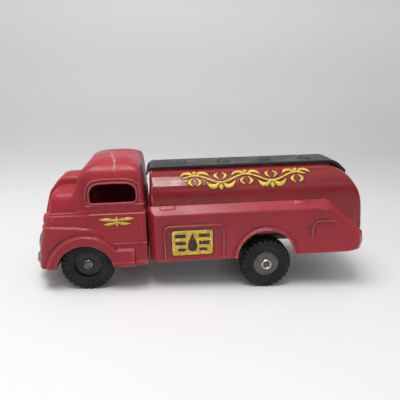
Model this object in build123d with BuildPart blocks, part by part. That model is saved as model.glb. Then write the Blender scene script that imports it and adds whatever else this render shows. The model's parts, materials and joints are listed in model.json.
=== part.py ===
from build123d import *
from math import cos, radians, sin
import os

os.makedirs("parts", exist_ok=True)

# Toy tanker truck, full size, millimetres.  Front is -X, +Y is the truck's right side, +Z is up.
# The wheels stand on Z = 0.  The bodywork is drawn level, with x measured from the front axle
# and z from the floor under it, and is then seated with a nose-down rake about that axle.

# ---------------------------------------------------------------- driving dimensions
TYRE_R = 26.0
TYRE_WIDTH = 16.0
WHEELBASE = 178.4
FRONT_AXLE_X = -115.63
RAKE_DEG = 3.22
HALF_WIDTH = 54.0
WHEEL_FACE_Y = 51.2
SHEET = 0.9
CAST = 1.8

CAB_REAR_X = 59.0
CAB_NOSE_X = -42.5
CAB_BOTTOM_Z = 25.0
CAB_BELT_Z = 80.0
CAB_ROOF_Z = 124.5
CAB_HALF_TOP = 50.0
CAB_HALF_LOW = 53.0
HOOD_SHOULDER_Z = 100.0
HOOD_CROWN_Z = 108.5
HOOD_CROWN_HALF = 17.0
FRONT_ARCH = (-2.0, 20.5)
FRONT_ARCH_R = 27.6
ARCH_BEAD = 3.4
WINDOW_X = (8.5, 50.0)
WINDOW_Z = (89.5, 104.5)
SCREEN_Z = (109.8, 119.0)
SCREEN_Y = (3.0, 37.0)

GRILLE_HALF = 34.0
GRILLE_Z = (19.0, 57.0)
GRILLE_BULGE = 8.0
GRILLE_WAIST = 15.0
GRILLE_SLOT = 1.8
GRILLE_SLOT_PITCH = 4.4
GRILLE_SLOT_MARGIN = 8.0

TANK_FRONT_X = 61.0
TANK_REAR_X = 281.5
SKIRT_BOTTOM_Z = 27.0
LEDGE_Z = 81.0
LEDGE_DROP = 6.5
BARREL_HALF = 46.0
BARREL_TOP_Z = 112.3
BARREL_CORNER_R = 28.0
BARREL_TAIL_R = 12.0
BARREL_FOOT_Z = 46.0
FRONT_ROLL_R = 4.0
REAR_ARCH = (177.6, 25.2)
REAR_ARCH_R = 28.6
OPEN_FOOT = 5.0

DECK_HALF = 18.0
DECK_TOP_Z = 115.0
DECK_FRONT_R = 8.0
HATCH_X = (97.0, 141.5, 186.0, 230.5)
HATCH_R = 7.5
HATCH_RIM = 1.3
HATCH_LID_R = 4.5
HATCH_RISE = 0.6

CHASSIS_HALF = 20.0
CHASSIS_TOP_Z = 40.0
CHASSIS_FLANGE_Z = 29.5
CHASSIS_X = (-37.5, 270.0)
STRAP_X = (84.0, 246.0)
STRAP_WIDTH = 14.0
STRAP_LIP = 9.0
BRACKET_HALF = 20.0
BRACKET_RIVET_X = 14.0
STRAP_RIVET_Y = 10.0
SCREW_X = (-15.0, 48.0)
SCREW_BOSS_R = 4.5
SCREW_R = 1.6
RIVET_R = 2.4
RIVET_HEAD = 1.1

AXLE_R = 2.4
RUNNING = 0.06
EAR_R = 6.0
HUB_R = 12.9
REAR_HUB_BOSS_R = 4.2
FRONT_RECESS = 3.6
LUGS = 28
LUG_DEPTH = 1.9
LUG_REACH = 3.6
LUG_GAP = 2.5
SPACER_R = 4.2
CAP_R = 5.3
FERRULE_R = 5.5
SCREW_HEAD_R = 3.0
SCREW_HEAD_Z = 1.8
SCREW_LENGTH = 8.0

REAR_AXLE_Z = TYRE_R - WHEELBASE * sin(radians(RAKE_DEG))
REAR_AXLE_X = WHEELBASE * cos(radians(RAKE_DEG))
WHEEL_X = {"front": FRONT_AXLE_X, "rear": FRONT_AXLE_X + WHEELBASE}
WHEEL_INNER_Y = WHEEL_FACE_Y - TYRE_WIDTH
SEAT = Location((FRONT_AXLE_X, 0, TYRE_R), (0, -RAKE_DEG, 0)) * Location((0, 0, -TYRE_R))


def finish(builder, label, seated=False):
    """Name one piece and write it; a seated piece is raked about the front axle first."""
    if seated:
        builder.part = builder.part.moved(SEAT)
    builder.part.label = label
    export_step(builder.part, f"parts/{label}.step")


def side_plate(points, half, radii=None):
    """A closed side outline in x and z, spread to both sides of the centre plane.

    radii gives the corner radius for the points that are rounded, by their place in the list.
    """
    with BuildPart() as plate:
        with BuildSketch(Plane.XZ) as outline:
            with BuildLine():
                Polyline(*points, close=True)
            make_face()
            for index, radius in (radii or {}).items():
                x, z = points[index]
                corner = outline.vertices().sort_by_distance((x, z, 0))[0]
                fillet(corner, radius)
        extrude(amount=half, both=True)
    return plate.part


def cylinder_y(x, z, radius, y0, y1):
    """A round bar along Y from y0 to y1."""
    with BuildPart() as bar:
        with BuildSketch(Plane.XZ.offset(-y0)):
            with Locations((x, z)):
                Circle(radius)
        extrude(amount=-(y1 - y0))
    return bar.part


# ---------------------------------------------------------------- cab, one hollow casting
def lower_cab(inset):
    """Doors and mudguards up to the belt line."""
    nose = CAB_NOSE_X + inset
    rear = CAB_REAR_X - inset
    low = CAB_BOTTOM_Z - inset
    top = CAB_BELT_Z + 4 - inset
    outline = [(rear, low), (nose, low), (nose + 2.5, 54), (nose + 9, top), (rear, top)]
    with BuildPart() as form:
        add(side_plate(outline, CAB_HALF_LOW - inset))
        rim = form.faces().filter_by(Axis.Y).edges()
        fillet(rim.filter_by(lambda e: e.center().X < nose + 8 and e.length > 15), 12 - inset)
        top_edges = form.faces().sort_by(Axis.Z)[-1].edges()
        fillet(top_edges.filter_by(lambda e: e.center().X < rear - 1), 3.5 - inset / 2)
    return form.part


def nose_shoulders(inset):
    """The rounded shoulders on either side of the hood."""
    nose = CAB_NOSE_X + inset
    top = HOOD_SHOULDER_Z - inset
    outline = [(10, 70), (nose + 6, 70), (nose + 10, 86), (nose + 16, top), (10, top)]
    with BuildPart() as form:
        add(side_plate(outline, CAB_HALF_LOW - 4 - inset, {3: 9, 2: 14}))
        fillet(form.edges().filter_by(Axis.X).group_by(Axis.Z)[-1], 13 - inset)
    return form.part


def hood_crown(inset):
    """The raised middle of the hood."""
    nose = CAB_NOSE_X + inset
    top = HOOD_CROWN_Z - inset
    outline = [(14, 60), (nose - 1.5, 60), (nose + 2, 76), (nose + 8, 94), (nose + 21, top), (14, top)]
    with BuildPart() as form:
        add(side_plate(outline, HOOD_CROWN_HALF - inset, {4: 14, 3: 16, 2: 10}))
        fillet(form.edges().filter_by(Axis.X).group_by(Axis.Z)[-1], 5 - inset)
    return form.part


def greenhouse(inset):
    """Pillars and roof."""
    rear = CAB_REAR_X - inset
    top = CAB_ROOF_Z - inset
    front = -4.5 + inset
    outline = [(rear, 78), (front, 78), (front, 104), (6, top), (rear, top)]
    with BuildPart() as form:
        add(side_plate(outline, CAB_HALF_TOP - inset, {3: 20, 4: 15 - inset, 2: 30}))
        rim = form.faces().filter_by(Axis.Y).edges()
        fillet(rim.filter_by(lambda e: e.center().Z > 99), 11 - inset)
    return form.part


def cab_form(inset):
    """The whole cab as a solid, drawn in by inset."""
    pieces = [lower_cab(inset), nose_shoulders(inset), hood_crown(inset), greenhouse(inset)]
    with BuildPart() as form:
        for piece in pieces:
            add(piece)
    return form.part


cab_outside = cab_form(0)
cab_inside = cab_form(CAST)
arch_cut = cylinder_y(*FRONT_ARCH, FRONT_ARCH_R, -80, 80)
with BuildPart() as cab_shell:
    add(cab_outside)
    # mudguard bead and running board stand proud of the doors
    with BuildSketch(Plane.XZ):
        with Locations(FRONT_ARCH):
            Circle(FRONT_ARCH_R + ARCH_BEAD)
        with Locations((CAB_REAR_X - 16, CAB_BOTTOM_Z + 2.5)):
            Rectangle(32, 5)
    extrude(amount=HALF_WIDTH, both=True)
    add(cab_inside, mode=Mode.SUBTRACT)
    with BuildSketch(Plane.XY.offset(CAB_BOTTOM_Z)):
        Rectangle(300, 200)
    extrude(amount=-60, mode=Mode.SUBTRACT)
    # wheel arches and door windows run right through
    add(arch_cut, mode=Mode.SUBTRACT)
    with BuildSketch(Plane.XZ):
        with Locations((sum(WINDOW_X) / 2, sum(WINDOW_Z) / 2)):
            RectangleRounded(WINDOW_X[1] - WINDOW_X[0], WINDOW_Z[1] - WINDOW_Z[0], 4.5)
    extrude(amount=80, both=True, mode=Mode.SUBTRACT)
    # split windscreen
    with BuildSketch(Plane.YZ.offset(-20)):
        for side in (-1, 1):
            with Locations((side * sum(SCREEN_Y) / 2, sum(SCREEN_Z) / 2)):
                RectangleRounded(SCREEN_Y[1] - SCREEN_Y[0], SCREEN_Z[1] - SCREEN_Z[0], 3)
    extrude(amount=30, mode=Mode.SUBTRACT)
    # two cast posts take the chassis screws
    with BuildSketch(Plane.XY.offset(CHASSIS_TOP_Z)):
        with Locations((SCREW_X[0], 0)):
            Circle(SCREW_BOSS_R)
    extrude(amount=HOOD_CROWN_Z - 1 - CHASSIS_TOP_Z)
    with BuildSketch(Plane.XY.offset(CHASSIS_TOP_Z)):
        with Locations(((SCREW_X[1] + CAB_REAR_X - 1) / 2, 0)):
            Rectangle(CAB_REAR_X - 1 - SCREW_X[1], 2 * SCREW_BOSS_R)
        with Locations((SCREW_X[1], 0)):
            Circle(SCREW_BOSS_R)
    extrude(amount=16)
    with BuildSketch(Plane.XY.offset(CHASSIS_TOP_Z)):
        for x in SCREW_X:
            with Locations((x, 0)):
                Circle(SCREW_R)
    extrude(amount=SCREW_LENGTH + 1, mode=Mode.SUBTRACT)
    # gate for the chassis in the rear wall
    with BuildSketch(Plane.XY.offset(CHASSIS_TOP_Z)):
        with Locations((CAB_REAR_X, 0)):
            Rectangle(8, 2 * CHASSIS_HALF + 1)
    extrude(amount=-30, mode=Mode.SUBTRACT)
finish(cab_shell, "cab_shell", seated=True)

# ---------------------------------------------------------------- plated front stamping
with BuildPart() as front_grille:
    with BuildSketch(Plane.XZ):
        with BuildLine():
            foot, top = GRILLE_Z
            waist = foot + GRILLE_WAIST
            edge = CAB_NOSE_X - 0.05
            low_crest = (edge - GRILLE_BULGE, (foot + waist) / 2)
            low_bar = ThreePointArc((edge, foot), low_crest, (edge - 1.6, waist))
            high_crest = (edge - GRILLE_BULGE + 0.6, (waist + top) / 2)
            high_bar = ThreePointArc(low_bar @ 1, high_crest, (edge, top))
            Line(high_bar @ 1, (edge, foot))
        make_face()
    extrude(amount=GRILLE_HALF, both=True)
    # level slots between the bars above the bumper
    with BuildSketch(Plane.YZ.offset(CAB_NOSE_X - 10)):
        with Locations((0, (GRILLE_Z[0] + GRILLE_WAIST + GRILLE_Z[1]) / 2)):
            with GridLocations(0, GRILLE_SLOT_PITCH, 1, 4):
                SlotOverall(2 * (GRILLE_HALF - GRILLE_SLOT_MARGIN), GRILLE_SLOT)
    extrude(amount=8.2, mode=Mode.SUBTRACT)
finish(front_grille, "front_grille", seated=True)


# ---------------------------------------------------------------- tank
def skirt_form(inset):
    """Lower tank body: flat sides, a sloping ledge along the top and a swept tail.

    An inset form reaches OPEN_FOOT lower, so that taking it away leaves the body open below.
    """
    front = TANK_FRONT_X
    foot = SKIRT_BOTTOM_Z - (OPEN_FOOT if inset else 0)
    tail = TANK_REAR_X - inset
    top = LEDGE_Z - inset
    low = top - LEDGE_DROP
    inner_line = [(front, foot), (front, top), (243, top), (tail - 1.5, 44), (tail, 34), (tail - 5, foot)]
    outer_line = [(front, foot), (front, low), (237, low), (tail - 6, 40), (tail - 3, 34), (tail - 8, foot)]
    rounding = {2: 20, 3: 4, 4: 4}
    inner_y = BARREL_HALF
    with BuildPart() as form:
        add(side_plate(inner_line, inner_y, rounding))
        for side in (-1, 1):
            for line, y in ((inner_line, inner_y), (outer_line, HALF_WIDTH - inset)):
                with BuildSketch(Plane.XZ.offset(side * y)) as outline:
                    with BuildLine():
                        Polyline(*line, close=True)
                    make_face()
                    for index, radius in rounding.items():
                        x, z = line[index]
                        fillet(outline.vertices().sort_by_distance((x, z, 0))[0], radius)
            loft(ruled=True)
    return form.part


def barrel_form(inset):
    """Upper tank where three outlines meet: side view, cross-section and plan view."""
    front = TANK_FRONT_X + 1 + inset
    top = BARREL_TOP_Z - inset
    rear = TANK_REAR_X + 2 - inset
    half = BARREL_HALF - inset
    foot = BARREL_FOOT_Z - (OPEN_FOOT if inset else 0)
    outline = [(front, foot), (front, top), (259 - inset / 2, top), (rear - 6, 82), (rear, foot)]
    with BuildPart() as form:
        add(side_plate(outline, half, {1: FRONT_ROLL_R - inset, 2: 30, 3: 60}))
        with BuildSketch(Plane.YZ.offset(front - 5)):
            with Locations((0, (top + foot - 60) / 2)):
                RectangleRounded(2 * half, top - foot + 60, BARREL_CORNER_R - inset)
        extrude(amount=300, mode=Mode.INTERSECT)
        with BuildSketch(Plane.XY) as plan:
            with Locations(((front + rear) / 2, 0)):
                Rectangle(rear - front, 2 * half)
            back = plan.vertices().group_by(Axis.X)[-1]
            fillet(back, BARREL_TAIL_R - inset)
            fillet(plan.vertices().group_by(Axis.X)[0], FRONT_ROLL_R - inset)
        extrude(amount=200, mode=Mode.INTERSECT)
    return form.part


def tank_section(margin, sill, x, thickness):
    """A flat slab across the tank, its outline drawn in by margin from the barrel."""
    side = BARREL_HALF - margin
    shoulder_y = BARREL_HALF - BARREL_CORNER_R
    shoulder_z = BARREL_TOP_Z - BARREL_CORNER_R
    crown = BARREL_TOP_Z - margin
    radius = BARREL_CORNER_R - margin
    with BuildPart() as slab:
        with BuildSketch(Plane.YZ.offset(x)):
            with BuildLine():
                Polyline((-side, shoulder_z), (-side, sill), (side, sill), (side, shoulder_z))
                RadiusArc((side, shoulder_z), (shoulder_y, crown), -radius)
                Line((shoulder_y, crown), (-shoulder_y, crown))
                RadiusArc((-shoulder_y, crown), (-side, shoulder_z), -radius)
            make_face()
        extrude(amount=thickness)
    return slab.part


barrel_outside = barrel_form(0)
barrel_inside = barrel_form(SHEET)
with BuildPart() as tank_barrel:
    add(barrel_outside)
    add(barrel_inside, mode=Mode.SUBTRACT)
    add(tank_section(FRONT_ROLL_R + 1, BARREL_FOOT_Z - 5, TANK_FRONT_X - 2, 8), mode=Mode.SUBTRACT)
finish(tank_barrel, "tank_barrel", seated=True)

skirt_outside = skirt_form(0)
skirt_inside = skirt_form(SHEET)
with BuildPart() as tank_skirt:
    add(skirt_outside)
    add(skirt_inside, mode=Mode.SUBTRACT)
    add(barrel_outside, mode=Mode.SUBTRACT)
    with BuildSketch(Plane.XZ):
        with Locations(REAR_ARCH):
            Circle(REAR_ARCH_R)
    extrude(amount=80, both=True, mode=Mode.SUBTRACT)
finish(tank_skirt, "tank_skirt", seated=True)

# flat bulkhead that closes the front of the tank
with BuildPart() as tank_front_panel:
    add(tank_section(1.2, SKIRT_BOTTOM_Z + 2, TANK_FRONT_X + 4.2, SHEET))
    # gate for the chassis
    with BuildSketch(Plane.XY.offset(CHASSIS_TOP_Z + 0.3)):
        with Locations((TANK_FRONT_X, 0)):
            Rectangle(20, 2 * CHASSIS_HALF + 1)
    extrude(amount=-30, mode=Mode.SUBTRACT)
finish(tank_front_panel, "tank_front_panel", seated=True)


def deck_form(inset):
    """Outline of the walkway: flat top, rolled-down front and a slope at the back."""
    top = DECK_TOP_Z - inset
    front = TANK_FRONT_X - 0.9 + inset
    outline = [(front, 106.5), (front, top), (258 - inset / 2, top), (270 - inset, 104)]
    return side_plate(outline, DECK_HALF - inset, {1: DECK_FRONT_R - inset, 2: 18 - inset})


deck_outside = deck_form(0)
deck_inside = deck_form(SHEET)
with BuildPart() as tank_deck:
    add(deck_outside)
    add(deck_inside, mode=Mode.SUBTRACT)
    add(barrel_outside, mode=Mode.SUBTRACT)
    # filler hatches: a raised rim round a low lid
    for x in HATCH_X:
        with BuildSketch(Plane.XY.offset(DECK_TOP_Z - 0.2)):
            with Locations((x, 0)):
                Circle(HATCH_R)
                Circle(HATCH_R - HATCH_RIM, mode=Mode.SUBTRACT)
        extrude(amount=0.2 + HATCH_RISE)
        with BuildSketch(Plane.XY.offset(DECK_TOP_Z - 0.2)):
            with Locations((x, 0)):
                Circle(HATCH_LID_R)
        extrude(amount=0.2 + HATCH_RISE / 2)
finish(tank_deck, "tank_deck", seated=True)

# ---------------------------------------------------------------- chassis
rivet_spots = [(x, side * STRAP_RIVET_Y) for x in STRAP_X for side in (-1, 1)]
bracket_rivets = [(REAR_AXLE_X + side * BRACKET_RIVET_X, 0) for side in (-1, 1)]
rivet_spots += bracket_rivets
with BuildPart() as chassis_frame:
    with BuildSketch(Plane.XZ) as flange_side:
        with BuildLine():
            Polyline(
                (CHASSIS_X[0], CHASSIS_FLANGE_Z),
                (CHASSIS_X[0], CHASSIS_TOP_Z),
                (CHASSIS_X[1], CHASSIS_TOP_Z),
                (CHASSIS_X[1], CHASSIS_FLANGE_Z),
                close=True,
            )
        make_face()
        with Locations((0, TYRE_R)):
            Circle(EAR_R)
    extrude(amount=CHASSIS_HALF, both=True)
    with BuildSketch(Plane.XY.offset(CHASSIS_TOP_Z - SHEET)):
        Rectangle(800, 2 * (CHASSIS_HALF - SHEET))
    extrude(amount=-60, mode=Mode.SUBTRACT)
    add(cylinder_y(0, TYRE_R, AXLE_R + RUNNING, -40, 40), mode=Mode.SUBTRACT)
    with BuildSketch(Plane.XY.offset(CHASSIS_TOP_Z - 5)):
        for x in SCREW_X:
            with Locations((x, 0)):
                Circle(SCREW_R)
        with Locations(*rivet_spots):
            Circle(RIVET_R / 2)
    extrude(amount=10, mode=Mode.SUBTRACT)
finish(chassis_frame, "chassis_frame", seated=True)

with BuildPart() as rear_axle_bracket:
    with BuildSketch(Plane.XZ):
        with BuildLine():
            top = CHASSIS_TOP_Z - SHEET
            low = REAR_AXLE_Z - EAR_R
            Polyline(
                (REAR_AXLE_X - BRACKET_HALF, top),
                (REAR_AXLE_X + BRACKET_HALF, top),
                (REAR_AXLE_X + BRACKET_HALF, CHASSIS_FLANGE_Z),
                (REAR_AXLE_X + EAR_R, low + 2),
                (REAR_AXLE_X + EAR_R - 2, low),
                (REAR_AXLE_X - EAR_R + 2, low),
                (REAR_AXLE_X - EAR_R, low + 2),
                (REAR_AXLE_X - BRACKET_HALF, CHASSIS_FLANGE_Z),
                close=True,
            )
        make_face()
    extrude(amount=CHASSIS_HALF - SHEET, both=True)
    with BuildSketch(Plane.XY.offset(top - SHEET)):
        Rectangle(800, 2 * (CHASSIS_HALF - 2 * SHEET))
    extrude(amount=-60, mode=Mode.SUBTRACT)
    add(cylinder_y(REAR_AXLE_X, REAR_AXLE_Z, AXLE_R + RUNNING, -40, 40), mode=Mode.SUBTRACT)
    with BuildSketch(Plane.XY.offset(top - 5)):
        with Locations(*bracket_rivets):
            Circle(RIVET_R / 2)
    extrude(amount=10, mode=Mode.SUBTRACT)
finish(rear_axle_bracket, "rear_axle_bracket", seated=True)

# cross straps carry the tank sides on the chassis
for name, x in zip(("front", "rear"), STRAP_X):
    with BuildPart() as strap:
        with BuildSketch(Plane.XY.offset(CHASSIS_TOP_Z)):
            with Locations((x, 0)):
                Rectangle(STRAP_WIDTH, 2 * (HALF_WIDTH - SHEET))
        extrude(amount=STRAP_LIP)
        with BuildSketch(Plane.XY.offset(CHASSIS_TOP_Z + SHEET)):
            with Locations((x, 0)):
                Rectangle(STRAP_WIDTH, 2 * (HALF_WIDTH - 2 * SHEET))
        extrude(amount=20, mode=Mode.SUBTRACT)
        with BuildSketch(Plane.XY.offset(CHASSIS_TOP_Z - 5)):
            with Locations((x, -STRAP_RIVET_Y), (x, STRAP_RIVET_Y)):
                Circle(RIVET_R / 2)
        extrude(amount=10, mode=Mode.SUBTRACT)
    finish(strap, f"{name}_cross_strap", seated=True)

# strap rivets pass web and strap; bracket rivets pass web and bracket
with BuildPart() as frame_rivets:
    for x, y in rivet_spots:
        above = CHASSIS_TOP_Z + (SHEET if y else 0)
        below = CHASSIS_TOP_Z - SHEET - (0 if y else SHEET)
        with BuildSketch(Plane.XY.offset(below)):
            with Locations((x, y)):
                Circle(RIVET_R / 2)
        extrude(amount=above - below)
        for level, rise in ((above, RIVET_HEAD), (below, -RIVET_HEAD)):
            with BuildSketch(Plane.XY.offset(level)):
                with Locations((x, y)):
                    Circle(RIVET_R)
            extrude(amount=rise, taper=35)
finish(frame_rivets, "frame_rivets", seated=True)

with BuildPart() as cab_screws:
    for x in SCREW_X:
        with BuildSketch(Plane.XY.offset(CHASSIS_TOP_Z - SHEET)):
            with Locations((x, 0)):
                Circle(SCREW_R)
        extrude(amount=SCREW_LENGTH)
        with BuildSketch(Plane.XY.offset(CHASSIS_TOP_Z - SHEET)):
            with Locations((x, 0)):
                Circle(SCREW_HEAD_R)
        extrude(amount=-SCREW_HEAD_Z, taper=20)
        with BuildSketch(Plane.XY.offset(CHASSIS_TOP_Z - SHEET - SCREW_HEAD_Z)):
            with Locations((x, 0)):
                Rectangle(2 * SCREW_HEAD_R, 0.8)
        extrude(amount=0.8, mode=Mode.SUBTRACT)
finish(cab_screws, "cab_screws", seated=True)


# ---------------------------------------------------------------- wheels and axles
def turned(x, profile):
    """A turned piece about the axle line at x; profile points are (radius, y)."""
    with BuildPart() as piece:
        with BuildSketch(Plane.XY.offset(TYRE_R)):
            with BuildLine():
                Polyline(*[(x + r, y) for r, y in profile], close=True)
            make_face()
        revolve(axis=Axis((x, 0, TYRE_R), (0, 1, 0)))
    return piece


def tyre(x, side):
    """Rubber tyre with shoulder lugs, on the given side of the truck."""
    inner = side * WHEEL_INNER_Y
    width = side * TYRE_WIDTH
    tread_edge = 2.6 / TYRE_WIDTH
    profile = [
        (HUB_R, 0.04), (HUB_R + 1.4, 0.0), (20.5, 0.0), (23.6, 0.05), (TYRE_R - 0.6, tread_edge),
        (TYRE_R, tread_edge + 0.12), (TYRE_R, 0.88 - tread_edge), (TYRE_R - 0.6, 1 - tread_edge),
        (23.6, 0.95), (20.5, 1.0), (HUB_R + 1.4, 1.0), (HUB_R, 0.96),
    ]
    with BuildPart() as piece:
        add(turned(x, [(r, inner + width * w) for r, w in profile]).part)
        pitch = 360 / LUGS
        for face, phase in ((inner, 0.5), (inner + width, 0.0)):
            reach = LUG_REACH if face == inner else -LUG_REACH
            with BuildSketch(Plane.XZ.offset(-face)):
                with Locations((x, TYRE_R)):
                    with PolarLocations(TYRE_R, LUGS, start_angle=-90 + pitch * phase):
                        Rectangle(2 * LUG_DEPTH, LUG_GAP)
            extrude(amount=-side * reach, mode=Mode.SUBTRACT)
    return piece


for end in ("front", "rear"):
    for hand, side in (("left", -1), ("right", 1)):
        finish(tyre(WHEEL_X[end], side), f"{end}_tyre_{hand}")

for hand, side in (("left", -1), ("right", 1)):
    # front wheel: a dished hub, recessed in the tyre, that runs on the fixed axle
    face = WHEEL_FACE_Y - FRONT_RECESS
    back = WHEEL_INNER_Y + 0.7
    bore = AXLE_R + RUNNING
    well = face - 2
    rim = HUB_R - 1.6
    dish = [
        (bore, back), (4.6, back), (4.6, well), (rim, well), (rim, back),
        (HUB_R, back), (HUB_R, face), (bore, face),
    ]
    finish(turned(WHEEL_X["front"], [(r, side * y) for r, y in dish]), f"front_hub_{hand}")
    cap_top = face + 3.0
    cap = [
        (AXLE_R, face + 0.15), (CAP_R, face + 0.15), (CAP_R, face + 1.5), (4.4, face + 2.5), (2.6, cap_top),
        (1.6, cap_top - 0.5), (0, cap_top - 0.7), (0, cap_top - 1.6), (AXLE_R, cap_top - 1.6),
    ]
    finish(turned(WHEEL_X["front"], [(r, side * y) for r, y in cap]), f"front_axle_cap_{hand}")
    near = CHASSIS_HALF + 0.2
    far = back - 0.2
    tube = [(bore, near), (SPACER_R, near), (SPACER_R, far), (bore, far)]
    finish(turned(WHEEL_X["front"], [(r, side * y) for r, y in tube]), f"front_spacer_{hand}")

    # rear wheel: steel discs on a sleeve, all fast on the turning axle
    outer = WHEEL_FACE_Y
    spool = [
        (AXLE_R, WHEEL_INNER_Y - 0.6), (HUB_R + 1.2, WHEEL_INNER_Y - 0.6), (HUB_R + 1.2, WHEEL_INNER_Y),
        (REAR_HUB_BOSS_R, WHEEL_INNER_Y), (REAR_HUB_BOSS_R, outer - 1.2), (HUB_R, outer - 1.2),
        (HUB_R, outer - 0.4), (HUB_R - 1.2, outer + 0.3), (AXLE_R, outer + 0.3),
    ]
    finish(turned(WHEEL_X["rear"], [(r, side * y) for r, y in spool]), f"rear_hub_{hand}")
    flare = [
        (3.3, outer + 0.3), (FERRULE_R, outer + 0.3), (FERRULE_R, outer + 1.3),
        (FERRULE_R - 0.5, outer + 2.0), (4.1, outer + 2.0), (3.3, outer + 1.2),
    ]
    finish(turned(WHEEL_X["rear"], [(r, side * y) for r, y in flare]), f"rear_axle_ferrule_{hand}")
    far = WHEEL_INNER_Y - 0.6
    tube = [(AXLE_R, near), (SPACER_R, near), (SPACER_R, far), (AXLE_R, far)]
    finish(turned(WHEEL_X["rear"], [(r, side * y) for r, y in tube]), f"rear_spacer_{hand}")

axle_end = WHEEL_FACE_Y - FRONT_RECESS + 1.4
with BuildPart() as front_axle:
    add(cylinder_y(WHEEL_X["front"], TYRE_R, AXLE_R, -axle_end, axle_end))
    chamfer(front_axle.edges(), 0.4)
finish(front_axle, "front_axle")
axle_end = WHEEL_FACE_Y + 0.7
with BuildPart() as rear_axle:
    add(cylinder_y(WHEEL_X["rear"], TYRE_R, AXLE_R, -axle_end, axle_end))
    chamfer(rear_axle.edges(), 0.4)
finish(rear_axle, "rear_axle")
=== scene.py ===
import json
import math
import bpy
import numpy as np
import openvdb
from mathutils import Matrix, Vector
from mathutils.bvhtree import BVHTree


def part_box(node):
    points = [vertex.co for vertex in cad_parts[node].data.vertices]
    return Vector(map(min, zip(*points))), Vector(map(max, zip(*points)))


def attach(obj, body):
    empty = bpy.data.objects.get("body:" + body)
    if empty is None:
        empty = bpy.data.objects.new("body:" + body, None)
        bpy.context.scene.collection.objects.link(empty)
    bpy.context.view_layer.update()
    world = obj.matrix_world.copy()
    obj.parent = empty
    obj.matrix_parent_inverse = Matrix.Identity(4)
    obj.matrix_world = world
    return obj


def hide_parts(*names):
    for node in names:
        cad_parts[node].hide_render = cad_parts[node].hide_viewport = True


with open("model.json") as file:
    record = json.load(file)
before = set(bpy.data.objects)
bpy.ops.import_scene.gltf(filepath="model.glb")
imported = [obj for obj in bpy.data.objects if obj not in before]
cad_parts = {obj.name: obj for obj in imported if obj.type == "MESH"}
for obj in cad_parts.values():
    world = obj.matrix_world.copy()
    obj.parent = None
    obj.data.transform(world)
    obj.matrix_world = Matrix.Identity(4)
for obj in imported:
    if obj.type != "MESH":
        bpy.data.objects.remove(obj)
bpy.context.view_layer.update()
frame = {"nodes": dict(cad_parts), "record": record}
record = frame["record"]

# ---------------------------------------------------------------- the frame's own facts
# Bodywork is shaped in body coordinates: millimetres, level, x from the front axle and z from
# the floor under it.  seat() turns them about that axle by the rake that the deck mount shows.
MM = 0.001
joint = {j["name"]: j for j in record["behaviour"]["joints"]}
mount = {m["name"]: m for m in record["mounts"]}
FRONT_AXLE = np.array(joint["front_left_spin"]["pos_m"])
REAR_AXLE = np.array(joint["rear_axle_spin"]["pos_m"])
DECK_NORMAL = mount["deck_top"]["axis"]
RAKE = math.atan2(-DECK_NORMAL[0], DECK_NORMAL[2])
TYRE_R = FRONT_AXLE[2] / MM
HALF_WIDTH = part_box("tank_skirt")[1][1] / MM
HANDS = {"left": -1, "right": 1}


def seat(points):
    """Body coordinates in millimetres to the row frame in metres."""
    x, y, z = np.asarray(points, dtype=np.float64).T
    rise = z - TYRE_R
    c, s = math.cos(RAKE), math.sin(RAKE)
    along = FRONT_AXLE[0] + MM * (x * c - rise * s)
    up = FRONT_AXLE[2] + MM * (x * s + rise * c)
    return np.stack([along, MM * y, up], 1)


def unseat(point):
    """A row-frame point in metres to body coordinates in millimetres."""
    dx, dz = (point[0] - FRONT_AXLE[0]) / MM, (point[2] - FRONT_AXLE[2]) / MM
    c, s = math.cos(RAKE), math.sin(RAKE)
    return np.array([dx * c + dz * s, point[1] / MM, TYRE_R - dx * s + dz * c])


DECK_TOP = unseat(mount["deck_top"]["pos_m"])[2]


# ---------------------------------------------------------------- distance-field shaping
ARC_POINTS = 9


def rounded(points):
    """An outline from (a, b) or (a, b, radius) corners, with the corners turned into arcs."""
    out = []
    count = len(points)
    for i, p in enumerate(points):
        here = np.array(p[:2], float)
        radius = p[2] if len(p) > 2 else 0
        before = np.array(points[i - 1][:2], float) - here
        after = np.array(points[(i + 1) % count][:2], float) - here
        la, lb = np.linalg.norm(before), np.linalg.norm(after)
        before, after = before / la, after / lb
        half = math.acos(max(-1, min(1, before @ after))) / 2
        if radius <= 0 or half > math.pi / 2 - 0.01:
            out.append(here)
            continue
        reach = min(radius / math.tan(half), 0.49 * la, 0.49 * lb)
        radius = reach * math.tan(half)
        centre = here + (before + after) / np.linalg.norm(before + after) * radius / math.sin(half)
        start = here + before * reach - centre
        end = here + after * reach - centre
        sweep = math.atan2(start[0] * end[1] - start[1] * end[0], start @ end)
        for t in np.linspace(0, sweep, ARC_POINTS):
            c, s = math.cos(t), math.sin(t)
            out.append(centre + [start[0] * c - start[1] * s, start[0] * s + start[1] * c])
    return np.array(out)


def region(points, a, b):
    """Signed distance, negative inside, from every (a, b) of two axes to a closed outline."""
    a, b = np.meshgrid(a, b, indexing="ij")
    best = np.full(a.shape, 1e9)
    inside = np.zeros(a.shape, bool)
    for p, q in zip(points, np.roll(points, -1, axis=0)):
        da, db = q - p
        t = np.clip(((a - p[0]) * da + (b - p[1]) * db) / (da * da + db * db + 1e-12), 0, 1)
        best = np.minimum(best, (a - p[0] - t * da) ** 2 + (b - p[1] - t * db) ** 2)
        if db:
            crosses = (p[1] > b) != (q[1] > b)
            inside ^= crosses & (a < p[0] + (b - p[1]) * da / db)
    return np.where(inside, -1, 1) * np.sqrt(best)


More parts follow.
